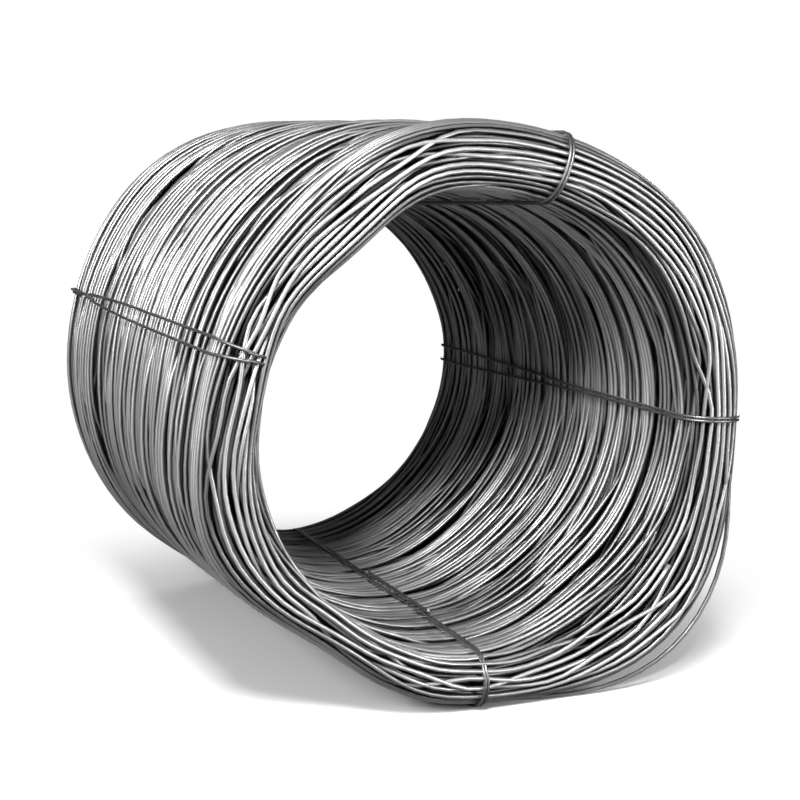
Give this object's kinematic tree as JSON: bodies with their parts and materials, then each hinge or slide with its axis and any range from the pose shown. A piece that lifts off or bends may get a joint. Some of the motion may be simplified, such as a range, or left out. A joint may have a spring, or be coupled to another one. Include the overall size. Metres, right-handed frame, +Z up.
{
  "type": "wire rod coil",
  "caption": "Loose-laid coil of steel wire rod lying on its side, held together by double-strand tie wires that go through its eye and round the outside.",
  "frame": {"origin": "on the floor, under the middle of the coil's axis, between the two tie strands it lies on", "axes": "+Z up, +Y along the coil's axis away from the near end that the picture shows, +X to the right as seen from the near end"},
  "size_m": [1.2914, 1.3338, 1.2744],
  "materials": {
    "rod": "hot-rolled and descaled, light grey",
    "tie_wire": "dark annealed wire"
  },
  "bodies": {
    "root": {"coil": "rod", "tie_top": "tie_wire", "tie_right": "tie_wire", "tie_bottom": "tie_wire", "tie_left": "tie_wire"}
  },
  "joints": []
}
